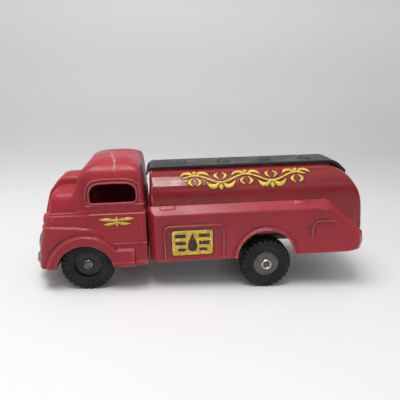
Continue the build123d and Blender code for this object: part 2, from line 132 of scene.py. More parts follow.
def path(points, a, b):
    """Distance from every (a, b) of two axes to an open line of points."""
    a, b = np.meshgrid(a, b, indexing="ij")
    best = np.full(a.shape, 1e9)
    for p, q in zip(np.array(points, float)[:-1], np.array(points, float)[1:]):
        da, db = q - p
        t = np.clip(((a - p[0]) * da + (b - p[1]) * db) / (da * da + db * db), 0, 1)
        best = np.minimum(best, (a - p[0] - t * da) ** 2 + (b - p[1] - t * db) ** 2)
    return np.sqrt(best)


def both(a, b, r):
    """Where a and b overlap, with the edge between them rounded to radius r."""
    corner = np.sqrt(np.maximum(a + r, 0) ** 2 + np.maximum(b + r, 0) ** 2)
    return np.minimum(np.maximum(a, b), -r) + corner


def either(a, b, r):
    """a and b together, with a hollow fillet of radius r where they meet."""
    corner = np.sqrt(np.maximum(r - a, 0) ** 2 + np.maximum(r - b, 0) ** 2)
    return np.maximum(np.minimum(a, b), r) - corner


def ramp(v, low, high):
    """0 below low, 1 above high, smooth between; low may be above high."""
    t = np.clip((v - low) / (high - low), 0, 1)
    return t * t * (3 - 2 * t)


def bead(distance, width):
    """Height 1 on a line, 0 at half the width away from it."""
    return ramp(distance, width / 2, 0)


FIELD_LIMIT = 3.0


class Grid:
    """Sample points of one half of a symmetric piece, y from 0 outwards."""

    def __init__(self, low, high, step):
        self.step = step
        self.x = np.arange(low[0], high[0] + step, step)
        self.y = (np.arange(int(high[1] / step) + 1) + 0.5) * step
        self.z = np.arange(low[2], high[2] + step, step)

    def side(self, points):
        return region(rounded(points), self.x, self.z)[:, None, :].astype(np.float32)

    def front(self, points):
        return region(rounded(points), self.y, self.z)[None, :, :].astype(np.float32)

    def plan(self, points):
        return region(rounded(points), self.x, self.y)[:, :, None].astype(np.float32)

    def mesh(self, name, values, faces_kept):
        """The zero surface of a field as an object, mirrored to both sides and thinned out."""
        full = np.concatenate([values[:, ::-1, :], values], axis=1)
        grid = openvdb.FloatGrid(FIELD_LIMIT)
        grid.copyFromArray(np.clip(full, -FIELD_LIMIT, FIELD_LIMIT).astype(np.float32))
        points, triangles, quads = grid.convertToPolygons(isovalue=0.0, adaptivity=0.0)
        points = points * self.step + np.array([self.x[0], -self.y[-1], self.z[0]])
        halves = [quads[:, [0, 1, 2]], quads[:, [0, 2, 3]], triangles]
        obj = solid(name, points, np.concatenate(halves))
        if len(obj.data.polygons) > faces_kept:
            thin = obj.modifiers.new("thin", "DECIMATE")
            thin.ratio = faces_kept / len(obj.data.polygons)
            apply_modifiers(obj)
        return obj


def mark_inside(obj, grid, outer, depth):
    """Give the second material, the painted shade of the insides, to the faces that lie deeper than
    depth under the outer form.
    """
    centres = np.empty(len(obj.data.polygons) * 3, np.float32)
    obj.data.polygons.foreach_get("center", centres)
    centres = centres.reshape(-1, 3)
    near = []
    values = (centres[:, 0], np.abs(centres[:, 1]), centres[:, 2])
    for value, axis in zip(values, (grid.x, grid.y, grid.z)):
        nearest = np.rint((value - axis[0]) / grid.step).astype(int)
        near.append(np.clip(nearest, 0, len(axis) - 1))
    inside = outer[tuple(near)] < -depth
    obj.data.polygons.foreach_set("material_index", inside.astype(np.int32))


# ---------------------------------------------------------------- mesh helpers
def solid(name, points, faces):
    """A smooth-shaded object from points and equal-sided faces given as arrays."""
    mesh = bpy.data.meshes.new(name)
    corners = faces.shape[1]
    mesh.vertices.add(len(points))
    mesh.vertices.foreach_set("co", np.asarray(points, np.float32).ravel())
    mesh.loops.add(faces.size)
    mesh.loops.foreach_set("vertex_index", np.ascontiguousarray(faces, np.int32).ravel())
    mesh.polygons.add(len(faces))
    mesh.polygons.foreach_set("loop_start", np.arange(0, faces.size, corners, dtype=np.int32))
    mesh.polygons.foreach_set("use_smooth", np.ones(len(faces), bool))
    mesh.update(calc_edges=True)
    mesh.validate()
    obj = bpy.data.objects.new(name, mesh)
    bpy.context.scene.collection.objects.link(obj)
    return obj


def apply_modifiers(obj):
    """Replace an object's mesh by what its modifiers make of it."""
    bpy.context.view_layer.update()
    depsgraph = bpy.context.evaluated_depsgraph_get()
    done = bpy.data.meshes.new_from_object(obj.evaluated_get(depsgraph))
    obj.modifiers.clear()
    obj.data = done


def place(obj, materials, replaces=()):
    """Seat a body-coordinate piece in the row frame and hand it over as part of the root."""
    co = np.empty(len(obj.data.vertices) * 3, np.float32)
    obj.data.vertices.foreach_get("co", co)
    obj.data.vertices.foreach_set("co", seat(co.reshape(-1, 3)).astype(np.float32).ravel())
    obj.data.update()
    hand_over(obj, "root", materials, replaces)


def hand_over(obj, body, materials, replaces):
    obj.data.materials.clear()
    for material in materials:
        obj.data.materials.append(material)
    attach(obj, body)
    if replaces:
        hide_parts(*replaces)


# ---------------------------------------------------------------- cab
# Outlines are (x, z) from the side, (y, z) from the front and (x, y) from above, with an
# optional corner radius third.  An edge far outside the piece, at -60 or 90, cuts nothing.
CAB_REAR = 59.0
CAB_FOOT = 25.0
CAB_INSIDE = 1.1
BELT_LOW = 78.2
BELT_HIGH = 86.6
CAB_WALL = 1.9
ARCH = (-1.6, 20.6)
ARCH_R = 27.7
WINDOW = [(8.0, 89.0, 2.5), (8.0, 105.8, 9), (29, 106.6, 40), (50.6, 105.6, 8), (50.6, 89.0, 4)]
PANE = [(2.6, 110.6, 2), (2.6, 118.2, 3), (33, 117.4, 4),
        (38.5, 107.5, 3), (21.5, 107.0, 3), (17.5, 110.6, 2)]
NOSE_X = -45.2
NOSE_PLAN = [(90, -60), (NOSE_X, -60), (NOSE_X, 8, 40),
             (-43.6, 38, 30), (-42.4, 52.0, 14), (90, 52.0)]
NOSE_LEAN = ([25, 34, 51, 59, 69, 80, 100], [0.0, 0.4, 3.2, 5.2, 7.4, 9.6, 15.5])
DOOR_LINES = (49.6, 54.6)
DOOR_CREASE = 48.2
STEP_TOP = 28.8
LAMP = (-36.5, 32.5, 69.5)
LAMP_R = 6.4


def disc(centre, radius):
    """A circle as a closed outline."""
    t = np.linspace(0, 2 * math.pi, 72, endpoint=False)
    return np.stack([centre[0] + radius * np.cos(t), centre[1] + radius * np.sin(t)], 1)


def leaning(grid, points, lean):
    """A plan outline pushed back along x by an amount that changes with height."""
    flat = region(rounded(points), grid.x, grid.y).astype(np.float32)
    moved = [np.interp(grid.x - shift, grid.x, np.arange(len(grid.x))) for shift in lean]
    low = np.stack([np.floor(m).astype(int) for m in moved], 1)
    part = (np.stack(moved, 1) - low)[:, None, :]
    high = np.minimum(low + 1, len(grid.x) - 1)
    first = flat[low].transpose(0, 2, 1)
    second = flat[high].transpose(0, 2, 1)
    return (first * (1 - part) + second * part).astype(np.float32)


def cab_relief(grid):
    """How far the flank stands out at each x and z: mudguard, steps and beads."""
    x, z = grid.x, grid.z
    along, up = np.meshgrid(x, z, indexing="ij")
    guard_line = [(-70, 70), (-32, 68.6), (-8, 66.9), (3.5, 65.4, 5), (12, 62.5, 8),
                  (20, 55, 8), (29, 42, 1), (46.3, 42, 1), (46.3, 10), (-70, 10)]
    guard = region(rounded(guard_line), x, z)
    softness = 0.9 + 3.4 * ramp(along, 3, 12) * ramp(along, 28, 23)
    relief = 2.0 * ramp(guard, softness, -softness)
    relief += 0.5 * bead(np.abs(guard + 1.2), 2.6) * ramp(along, 6, 0)
    round_arch = region(disc((-1.2, 20.8), 36.2), x, z)
    step_box = region(rounded([(20, 10), (26, 42, 1), (46.3, 42, 1), (46.3, 10)]), x, z)
    band = np.minimum(round_arch, step_box)
    relief -= 0.9 * bead(np.abs(band - 2.6), 5.0) * ramp(guard, 0, -2) * ramp(along, 28, 20)
    relief += 1.3 * ramp(band, 0.7, -0.7)
    step = region(np.array([(26, 10), (26, STEP_TOP), (70, STEP_TOP), (70, 10)]), x, z)
    relief += 2.0 * ramp(step, 2.6, -1.2)
    for z_line, x0, x1 in ((BELT_HIGH, 4, 58.6), (DOOR_CREASE, 27.5, 58.6)):
        relief += 0.85 * bead(path([(x0, z_line), (x1, z_line)], x, z), 2.2)
    for x_line in DOOR_LINES:
        line = 0.35 * bead(np.abs(along - x_line), 1.8)
        relief += line * ramp(up, 48, 50) * ramp(up, 78, 76)
    groove = 0.35 * bead(np.abs(up - BELT_LOW - 1.0), 1.8)
    relief += 1.2 * ramp(up, BELT_LOW + 0.6, BELT_LOW - 0.6) - groove
    brow = [(3.6, 90), (3.8, 99), (6.4, 106.4), (10.5, 109.8), (18, 110.8), (30, 111.0),
            (42, 110.7), (49, 109.2), (53.4, 105.6), (54.4, 99), (54.4, 90)]
    relief += 0.75 * bead(path(brow, x, z), 2.2)
    relief += 0.8 * bead(np.abs(region(rounded(WINDOW), x, z) - 1.0), 2.6)
    return relief[:, None, :].astype(np.float32)


def cab_field(grid, relief=0.0):
    """Outer form of the cab; relief raises the flanks."""
    x, y, z = grid.x[:, None, None], grid.y[None, :, None], grid.z[None, None, :]
    lean = np.interp(grid.z, *NOSE_LEAN)
    side = grid.side([(CAB_REAR, CAB_FOOT), (-52, CAB_FOOT), (-52, 80.6), (CAB_REAR, 80.6)])
    plan = leaning(grid, NOSE_PLAN, lean) + 0.012 * np.maximum(z - 50, 0)
    lower = both(side, plan - relief, 1.6)

    shoulder_side = grid.side([(12, 60), (-37.5, 60), (-33.4, 86, 16), (-27.5, 100.4, 9),
                               (-8, 101.4, 20), (12, 101.0)])
    shoulder_front = grid.front([(-9, 60), (50.4, 60), (49.6, 84, 10), (45.2, 97.4, 14),
                                 (30, 101.8, 20), (-9, 101.8)])
    shoulder_plan = leaning(grid, [(90, -60), (-39.6, -60), (-39.6, 20, 40), (-37.0, 50.8, 17),
                                   (90, 50.8)], 0.6 * np.maximum(lean - 7, 0))
    shoulder = both(both(shoulder_side, shoulder_front, 5.0), shoulder_plan, 6.0)

    crown_side = grid.side([(14, 60), (-45.0, 60), (-41.8, 76, 14), (-36.4, 93.5, 20),
                            (-24.0, 108.6, 16), (-4, 110.2, 30), (14, 110.2)])
    crown_front = grid.front([(-9, 60), (17.6, 60), (17.0, 98), (15.4, 107.6, 5),
                              (0, 110.4, 60), (-9, 110.4)])
    crown = both(crown_side, crown_front, 2.2)

    top_side = grid.side([(CAB_REAR, 60), (-8.0, 60), (-8.0, 99, 24), (0.2, 118.5, 17),
                          (13, 128.3, 26), (42, 129.2, 26), (56.3, 121.5, 14),
                          (CAB_REAR, 106, 14)])
    top_front = grid.front([(-9, 60), (57, 60), (57, 90), (52.6, 109, 14), (44.5, 122.3, 18),
                            (26, 127.8, 40), (0, 129.2, 90), (-9, 129.2)])
    top_plan = grid.plan([(CAB_REAR, -60), (-8.6, -60), (-8.6, 26, 60), (-6.8, 51.4, 8),
                          (30, 51.4, 20), (CAB_REAR, 51.4, 4)])
    flank = top_plan + 0.100 * np.maximum(z - 84, 0) - relief * ramp(z, 80, 82)
    top = both(both(top_side, top_front, 5.0), flank, 2.4)

    lamp = np.sqrt((y - LAMP[1]) ** 2 + (z - LAMP[2]) ** 2) - LAMP_R
    lamp = both(lamp, np.abs(x - LAMP[0]) - 3.9, 2.4)
    crease = 0.7 * ramp(np.abs(crown - 0.8), 1.6, 0.2)
    form = either(either(lower, either(crown, shoulder + crease, 0.4), 1.4), lamp, 1.2)
    return either(form, top, 0.3 + 4.2 * ramp(x, 9, 1))


def make_cab():
    """The hollow cab: open below, at the wheel arches, the windows and the windscreen."""
    step = 0.5
    grid = Grid((-52, 0, 22), (62, 57, 128), step)
    x, y, z = grid.x[:, None, None], grid.y[None, :, None], grid.z[None, None, :]
    inner = cab_field(grid)
    shell = both(cab_field(grid, cab_relief(grid)), -(inner + CAB_WALL), 0.4)
    shell = both(shell, CAB_FOOT - z + 0 * x, 0.7)
    shell = both(shell, -region(disc(ARCH, ARCH_R), grid.x, grid.z)[:, None, :], 0.7)
    shell = both(shell, -np.maximum(grid.side(WINDOW), 30 - y), 0.6)
    shell = both(shell, -np.maximum(grid.front(PANE), x - 9), 0.5)
    gate = np.maximum(np.maximum(np.abs(y) - 20.5, z - 40.4), 50 - x)
    shell = both(shell, -gate, 0.3)
    obj = grid.mesh("cab", shell, 160000)
    mark_inside(obj, grid, inner, CAB_INSIDE)
    return obj


# ---------------------------------------------------------------- tank
TANK_FRONT = 61.0
TANK_REAR = 281.5
SHEET = 1.3
LEDGE = 81.0
BARREL_HALF = 46.0
BARREL_TOP = 112.3
BARREL_CORNER = 28.0
SKIRT_LOW = 27.0
REAR_ARCH = (177.2, 24.8)
HATCHES = (97.0, 141.5, 186.0, 230.5)
HATCH_RIM_R = 6.9
HATCH_LID_R = 4.9
DECK_HALF = 18
SKIRT_LINE = [(TANK_FRONT, 0), (TANK_FRONT, LEDGE, 4.0), (242.5, LEDGE, 22), (280.2, 44.4, 5),
              (TANK_REAR, 34, 5), (279.2, 24.0, 5), (268, 20), (268, 0)]


def barrel_field(grid, grow=0.0):
    """Outer form of the upper tank, made larger all round by grow."""
    x = grid.x[:, None, None]
    front = TANK_FRONT + 1
    rear = TANK_REAR + 2
    side = grid.side([(front, 30), (front, BARREL_TOP, 4), (259, BARREL_TOP, 30),
                      (rear - 6, 82, 60), (rear, 46), (rear, 30)])
    cross = grid.front([(-60, 20), (BARREL_HALF, 20), (BARREL_HALF, BARREL_TOP, BARREL_CORNER),
                        (-60, BARREL_TOP)])
    plan = grid.plan([(front, -60), (front, BARREL_HALF, 4), (rear, BARREL_HALF, 12),
                      (rear, -60)])
    return both(both(side, cross, 5.0), plan + 0 * x, 5.0) - grow


def make_barrel():
    """The upper tank: a sheet rolled over into a flat top, open below and in front."""
    step = 0.62
    grid = Grid((59, 0, 44), (286, 48, 114.5), step)
    x, z = grid.x[:, None, None], grid.z[None, None, :]
    outer = barrel_field(grid)
    shell = both(outer, -(outer + SHEET), 0.3)
    shell = both(shell, 46.6 - z + 0 * x, 0.4)
    lip = 5
    mouth = grid.front([(-60, 20), (BARREL_HALF - lip, 20),
                        (BARREL_HALF - lip, BARREL_TOP - lip, BARREL_CORNER - lip),
                        (-60, BARREL_TOP - lip)])
    shell = both(shell, -np.maximum(mouth, x - 67), 0.4)
    obj = grid.mesh("barrel", shell, 110000)
    mark_inside(obj, grid, outer, 0.9)
    return obj


def skirt_relief(grid):
    """How far the flank stands out at each x and z: arch lip, panel outlines and the lower roll."""
    x, z = grid.x, grid.z
    up = np.meshgrid(x, z, indexing="ij")[1]
    arch = region(disc(REAR_ARCH, 31.6), x, z)
    relief = 1.7 * ramp(arch, 0.8, -0.8)
    relief -= 0.5 * bead(np.abs(arch - 2.2), 3.0)
    locker = [(76.3, 29.5), (76.3, 58), (77.4, 61.2), (80, 62.5), (128, 62.5), (132, 61.4),
              (134.1, 57.5), (134.1, 29.0)]
    hatch = [(224.0, 44.0), (224.2, 52), (225.4, 57.6), (227.7, 60.2), (231, 60.9),
             (247.5, 60.4)]
    groove = 0.45 * bead(np.abs(region(np.array(locker), x, z) - 2.2), 2.4)
    relief += 1.1 * bead(path(locker, x, z), 2.2) - groove
    relief += 1.1 * bead(path(hatch, x, z), 2.2)
    lower_roll = 0.5 * ramp(up, SKIRT_LOW + 3.0, SKIRT_LOW + 1.6)
    relief += lower_roll + 0.6 * ramp(up, LEDGE - 9.5, LEDGE - 7.6)
    return relief[:, None, :].astype(np.float32)


def make_skirt():
    """The lower tank body: a thin sheet with a ledge, tabs over it, wheel arches and a tail."""
    step = 0.62
    grid = Grid((58, 0, 21), (286, 58, 85), step)
    x, y, z = grid.x[:, None, None], grid.y[None, :, None], grid.z[None, None, :]
    top = (grid.side(SKIRT_LINE) + 0.84 * np.maximum(y - BARREL_HALF, -0.5)) / 1.25
    tabs = ramp(np.abs(x - 80), 7.4, 6.6) + ramp(np.abs(x - 212.2), 6.2, 5.4)
    tabs = tabs * ramp(np.abs(y - 47.6), 1.9, 1.3)
    flank = y - (HALF_WIDTH - 0.25)
    outer = both(top - 0.7 * tabs, flank - skirt_relief(grid), 1.3)
    inner = both(top, flank, 1.3)
    shell = both(outer, -(inner + SHEET), 0.4)
    shell = both(shell, SKIRT_LOW - 1 - z + 0 * x, 0.5)
    shell = both(shell, -region(disc(REAR_ARCH, 29.0), grid.x, grid.z)[:, None, :], 0.6)
    shell = both(shell, -np.maximum(barrel_field(grid, -0.5), 47 - z), 0.2)
    obj = grid.mesh("skirt", shell, 120000)
    mark_inside(obj, grid, inner, 0.8)
    return obj


def make_deck():
    """The black walkway along the tank, with a ring and a lid at each filler hatch."""
    step = 0.42
    grid = Grid((57, 0, 98), (273, 20, 118), step)
    x, y, z = grid.x[:, None, None], grid.y[None, :, None], grid.z[None, None, :]
    line = grid.side([(60.1, 60), (60.1, DECK_TOP, 8), (258, DECK_TOP, 18), (270.5, 103.4, 1),
                      (266, 60)])
    outer = both(line, y - DECK_HALF, 1.4)
    shell = both(outer, -(outer + 1.1), 0.3)
    under = grid.side([(40, 60), (40, 105.6), (61.6, 106.4), (63, 110, 4), (70, 111.6, 4),
                       (256, 111.6, 18), (264, 105), (266, 60)])
    shell = both(shell, -under, 0.3)
    for hatch_x in HATCHES:
        across = np.sqrt((x - hatch_x) ** 2 + y ** 2)
        height = np.abs(z - DECK_TOP)
        rim = both(np.abs(across - HATCH_RIM_R) - 0.75, height - 0.75, 0.45)
        lid = both(across - HATCH_LID_R, height - 0.55 - 0.5 * ramp(across, 4.2, 0), 0.5)
        shell = either(either(shell, rim, 0.35), lid, 0.3)
    return grid.mesh("deck", shell, 90000)


# ---------------------------------------------------------------- grids of quads
def quilt(name, rows, closed=False):
    """A sheet of quads through rows of points; closed joins the last row to the first."""
    rows = np.asarray(rows, float)
    count, across = rows.shape[:2]
    index = np.arange(count * across).reshape(count, across)
    after = np.roll(index, -1, axis=0) if closed else index[1:]
    near = index if closed else index[:-1]
    faces = np.stack([near[:, :-1], near[:, 1:], after[:, 1:], after[:, :-1]], -1).reshape(-1, 4)
    return solid(name, rows.reshape(-1, 3), faces)


def curve_through(points, count):
    """Evenly spread points on a smooth curve through the given ones, with any extra columns."""
    points = np.asarray(points, float)
    before = np.vstack([2 * points[0] - points[1], points, 2 * points[-1] - points[-2]])
    out = []
    for i in range(len(points) - 1):
        a, b, c, d = before[i:i + 4]
        for t in np.linspace(0, 1, 24, endpoint=False):
            square, cube = 2 * a - 5 * b + 4 * c - d, 3 * b - a - 3 * c + d
            out.append(0.5 * (2 * b + (c - a) * t + square * t * t + cube * t ** 3))
    out = np.array(out + [points[-1]])
    steps = np.linalg.norm(np.diff(out[:, :2], axis=0), axis=1)
    length = np.concatenate([[0], np.cumsum(steps)])
    even = np.linspace(0, length[-1], count)
    return np.stack([np.interp(even, length, out[:, k]) for k in range(out.shape[1])], 1)


# ---------------------------------------------------------------- tyres
LUGS = 28
LUG_DEPTH = 2.0


def tyre_profile():
    """The tyre from the hub seat over the tread and back, as (radius, width from -1 to 1)."""
    wall = [(12.9, 0.80), (13.2, 0.93), (14.2, 0.965), (15.6, 0.93), (17.0, 0.955), (17.6, 1.0),
            (18.8, 1.0), (19.4, 0.975), (21.0, 0.97), (22.6, 0.985), (23.9, 0.99), (24.9, 0.965)]
    tread = [(25.55, 0.90), (25.85, 0.82), (26.0, 0.70), (26.0, 0.58), (25.9, 0.52),
             (25.1, 0.50), (25.1, 0.44), (26.0, 0.42), (26.0, 0.12), (25.9, 0.09), (25.2, 0.07)]
    outer = np.array(wall + tread)
    return np.concatenate([outer, outer[::-1] * [1, -1]])


def make_tyre(name, centre, hand):
    """Rubber tyre with lugs over each shoulder; the two sides are half a pitch apart."""
    inner_y, outer_y = sorted((abs(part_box(name)[0][1]), abs(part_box(name)[1][1])))
    middle, half = (inner_y + outer_y) / 2, (outer_y - inner_y) / 2
    around = LUGS * 20
    turn = np.linspace(0, 2 * math.pi, around, endpoint=False)[:, None]
    radius, width = tyre_profile().T
    shoulder = ramp(np.abs(width), 0.50, 0.56) * ramp(radius, 20.8, 22.6)
    phase = np.where(width > 0, 0.0, math.pi)
    gap = ramp(np.cos(LUGS * turn + phase), 0.50, 0.84)
    r = radius - gap * shoulder * LUG_DEPTH
    w = width - gap * shoulder * ramp(np.abs(width), 0.86, 0.97) * np.sign(width) * 0.085
    along, up = centre[0] + MM * r * np.cos(turn), centre[2] + MM * r * np.sin(turn)
    points = np.stack([along, hand * (middle + half * w), up], -1)
    if hand > 0:
        points = points[:, ::-1]
    return quilt(name + "_detail", points, closed=True)


# ---------------------------------------------------------------- plated front
def make_grille():
    """Plated stamping: a rounded bumper with a centre boss below, five level bars above."""
    low, high = 19.0, 57.0
    half, waist = 34.0, 34.0
    bars_z, bumper_z = 46, 26.2
    bar_pitch = 4.4
    a, b = np.meshgrid(np.linspace(-1, 1, 141), np.linspace(0, 1, 120), indexing="ij")
    height = low + (high - low) * b
    from_bars, from_bumper = np.abs(height - bars_z), np.abs(height - bumper_z)
    corner = 1 - 0.10 * ramp(np.abs(a), 0.86, 1.0) * ((height - 38) / 19) ** 2
    across = half * a * corner
    upper = np.sqrt(np.clip(1 - ((height - bars_z) / 12.4) ** 2, 0, 1))
    lower = np.sqrt(np.clip(1 - ((height - bumper_z) / 8.2) ** 2, 0, 1))
    bulge = np.where(height > waist, 6.4 * upper, 7.2 * lower) + 1.0
    bars = ramp(np.cos((height - bars_z) * 2 * math.pi / bar_pitch), -0.25, 0.35)
    bars = bars * ramp(from_bars, 10.6, 9.6)
    bulge -= 2.2 * (1 - bars) * ramp(from_bars, 10.4, 9.4) * ramp(np.abs(a), 0.86, 0.82)
    bulge += 1.0 * ramp(from_bumper, 1.9, 0.9)
    bulge += 1.3 * ramp(np.abs(np.abs(across) - 17), 2.6, 1.6) * ramp(from_bumper, 7.5, 5.5)
    bulge *= ramp(np.abs(a), 1.0, 0.93) ** 0.5
    wrap = 3.2 * np.abs(a) ** 3
    nose = np.interp(height, *NOSE_LEAN) + NOSE_X
    front = np.stack([nose + wrap - bulge, across, height], -1)
    obj = quilt("grille", front[::-1])
    thick = obj.modifiers.new("thick", "SOLIDIFY")
    thick.thickness = 1.0
    thick.offset = -1.0
    apply_modifiers(obj)
    return obj


# ---------------------------------------------------------------- materials
class Nodes:
    """Short calls for building one material's node tree."""

    def __init__(self, name):
        self.material = bpy.data.materials.new(name)
        self.material.use_nodes = True
        self.tree = self.material.node_tree
        self.bsdf = self.tree.nodes["Principled BSDF"]
        self.where = self.add("ShaderNodeTexCoord").outputs["Object"]

    def add(self, kind, **settings):
        node = self.tree.nodes.new(kind)
        for key, value in settings.items():
            setattr(node, key, value)
        return node

    def feed(self, socket, value):
        if isinstance(value, bpy.types.NodeSocket):
            self.tree.links.new(value, socket)
        elif isinstance(value, (tuple, list)) and len(value) == 3 and socket.type == "RGBA":
            socket.default_value = (*value, 1)
        else:
            socket.default_value = value

    def noise(self, scale, detail, stretch=None):
        node = self.add("ShaderNodeTexNoise")
        place_at = self.where
        if stretch:
            mapping = self.add("ShaderNodeMapping")
            mapping.inputs["Scale"].default_value = stretch
            self.feed(mapping.inputs["Vector"], self.where)
            place_at = mapping.outputs["Vector"]
        self.feed(node.inputs["Vector"], place_at)
        node.inputs["Scale"].default_value = scale
        node.inputs["Detail"].default_value = detail
        return node.outputs["Fac"]

    def cells(self, scale):
        node = self.add("ShaderNodeTexVoronoi", feature="DISTANCE_TO_EDGE")
        self.feed(node.inputs["Vector"], self.where)
        node.inputs["Scale"].default_value = scale
        return node.outputs["Distance"]

    def span(self, value, low, high, to_low=0.0, to_high=1.0):
        node = self.add("ShaderNodeMapRange", interpolation_type="SMOOTHSTEP")
        self.feed(node.inputs["Value"], value)
        ends = {"From Min": low, "From Max": high, "To Min": to_low, "To Max": to_high}
        for key, number in ends.items():
            node.inputs[key].default_value = number
        return node.outputs["Result"]

    def sum(self, operation, a, b):
        """Any two-value sum, kept between 0 and 1."""
        node = self.add("ShaderNodeMath", operation=operation, use_clamp=True)
        self.feed(node.inputs[0], a)
        self.feed(node.inputs[1], b)
        return node.outputs["Value"]

    def mix(self, share, a, b):
        node = self.add("ShaderNodeMix", data_type="RGBA")
        self.feed(node.inputs[0], share)
        self.feed(node.inputs[6], a)
        self.feed(node.inputs[7], b)
        return node.outputs[2]

    def corner(self):
        return self.add("ShaderNodeNewGeometry").outputs["Pointiness"]

    def done(self, colour, roughness, height, depth, strength, metallic=0.0, shine=0.5):
        self.feed(self.bsdf.inputs["Base Color"], colour)
        self.feed(self.bsdf.inputs["Roughness"], roughness)
        self.feed(self.bsdf.inputs["Metallic"], metallic)
        self.bsdf.inputs["Specular IOR Level"].default_value = shine
        bump = self.add("ShaderNodeBump")
        bump.inputs["Strength"].default_value = strength
        bump.inputs["Distance"].default_value = depth
        self.feed(bump.inputs["Height"], height)
        self.feed(self.bsdf.inputs["Normal"], bump.outputs["Normal"])
        return self.material


def shade(colour, factor):
    """A colour made darker or lighter."""
    return tuple(c * factor for c in colour)


def scratch_line(n, back, low):
    """Lost paint along a slanting line: back is minus its x at y = 0, low its lowest height."""
    axis = n.add("ShaderNodeSeparateXYZ")
    n.feed(axis.inputs["Vector"], n.where)
    slant = n.add("ShaderNodeMath", operation="MULTIPLY_ADD")
    n.feed(slant.inputs[0], axis.outputs["Y"])
    slant.inputs[1].default_value = 0.165
    slant.inputs[2].default_value = back
    along = n.add("ShaderNodeMath", operation="ADD")
    n.feed(along.inputs[0], axis.outputs["X"])
    n.feed(along.inputs[1], slant.outputs["Value"])
    wander = n.sum("MULTIPLY", n.noise(38, 2), 0.010)
    away = n.add("ShaderNodeMath", operation="SUBTRACT")
    n.feed(away.inputs[0], along.outputs["Value"])
    n.feed(away.inputs[1], wander)
    size = n.add("ShaderNodeMath", operation="ABSOLUTE")
    n.feed(size.inputs[0], away.outputs["Value"])
    broken = n.span(n.noise(1050, 8), 0.505, 0.56)
    line = n.sum("MULTIPLY", n.span(size.outputs["Value"], 0.0020, 0.0003), broken)
    line = n.sum("MULTIPLY", line, n.span(axis.outputs["Z"], low, low + 0.004))
    return n.sum("MULTIPLY", line, n.span(axis.outputs["Y"], 0.012, -0.006))


# Colour for the darkened concave hollows: painted shade, with grime.
HOLLOW_SHADE_AND_GRIME = (0.035, 0.012, 0.012)
SPECK = (0.05, 0.02, 0.018)
PRIMER = (0.42, 0.33, 0.31)


def enamel(name, colour, worn, gloss, scratch=None, shine=0.28):
    """Old baked enamel: faded patches, painted shade and grime in the hollows, rubbed edges and
    small chips.
    """
    n = Nodes(name)
    body = n.mix(n.span(n.noise(11, 6), 0.34, 0.68), shade(colour, 0.86), shade(colour, 1.12))
    body = n.mix(n.span(n.noise(170, 8), 0.38, 0.72, 0, 0.35), body, shade(colour, 0.66))
    # Concave hollows are darkened here: painted shade, with grime.
    hollow = n.sum("MULTIPLY", n.span(n.corner(), 0.495, 0.472),
                   n.span(n.noise(60, 6), 0.3, 0.62, 0.3, 0.85))
    body = n.mix(hollow, body, HOLLOW_SHADE_AND_GRIME)
    speck = n.sum("MULTIPLY", n.span(n.noise(900, 3), 0.665, 0.70),
                  n.span(n.noise(26, 4), 0.47, 0.62, 0.0, 0.8))
    body = n.mix(speck, body, SPECK)
    edge = n.sum("MULTIPLY", n.span(n.corner(), 0.510, 0.540),
                 n.span(n.noise(120, 6), 0.36, 0.60, 0.12, 0.78))
    body = n.mix(edge, body, worn)
    chips = n.sum("MULTIPLY", n.span(n.noise(330, 5), 0.72, 0.735),
                  n.span(n.noise(17, 3), 0.50, 0.60))
    if scratch:
        chips = n.sum("MAXIMUM", chips, scratch_line(n, *scratch))
    body = n.mix(chips, body, PRIMER)
    rough = n.span(n.noise(34, 6), 0.3, 0.7, gloss - 0.06, gloss + 0.12)
    height = n.sum("ADD", n.sum("MULTIPLY", n.noise(420, 3), 0.35),
                   n.sum("MULTIPLY", n.noise(1500, 2), 0.25))
    height = n.sum("SUBTRACT", height, n.sum("MULTIPLY", chips, 0.3))
    return n.done(body, rough, height, depth=0.00012, strength=0.3, shine=shine)


def rubber():
    """Dusty black rubber, greyer on the raised tread and in patches."""
    n = Nodes("tyre_rubber_aged")
    body = n.mix(n.span(n.noise(45, 6), 0.35, 0.7), (0.009, 0.009, 0.009), (0.020, 0.019, 0.019))
    dust = n.sum("MULTIPLY", n.span(n.corner(), 0.53, 0.62),
                 n.span(n.noise(240, 6), 0.3, 0.65, 0.1, 0.6))
    body = n.mix(dust, body, (0.065, 0.062, 0.058))
    body = n.mix(n.span(n.noise(700, 4), 0.62, 0.72, 0, 0.35), body, (0.022, 0.020, 0.018))
    height = n.sum("ADD", n.sum("MULTIPLY", n.noise(900, 5), 0.5),
                   n.sum("MULTIPLY", n.noise(2600, 2), 0.3))
    rough = n.span(n.noise(80, 5), 0.3, 0.7, 0.5, 0.72)
    return n.done(body, rough, height, depth=0.00015, strength=0.5, shine=0.24)


def metal(name, colour, dark, rough, tarnish, grain=(1, 1, 1)):
    """Plain or plated metal with tarnish in patches, drawn grain and fine scratches."""
    n = Nodes(name)
    drawn = n.span(n.noise(210, 8, grain), 0.34, 0.66)
    body = n.mix(drawn, shade(colour, 0.62), shade(colour, 1.25))
    spots = n.sum("MAXIMUM", n.span(n.noise(230, 8), tarnish, tarnish + 0.14),
                  n.span(n.corner(), 0.485, 0.455))
    body = n.mix(n.sum("MULTIPLY", spots, 0.85), body, dark)
    lift = n.span(n.corner(), 0.52, 0.57, 0, 0.6)
    body = n.mix(lift, body, shade(colour, 1.4))
    patchy = n.span(n.noise(300, 6, grain), 0.3, 0.7, rough - 0.08, rough + 0.12)
    roughness = n.sum("ADD", patchy, n.sum("MULTIPLY", spots, 0.22))
    height = n.sum("ADD", n.sum("MULTIPLY", n.noise(800, 4, grain), 0.5),
                   n.sum("MULTIPLY", spots, 0.25))
    shiny = n.span(spots, 0, 1, 0.95, 0.35)
    return n.done(body, roughness, height, depth=0.00010, strength=0.4, metallic=shiny)


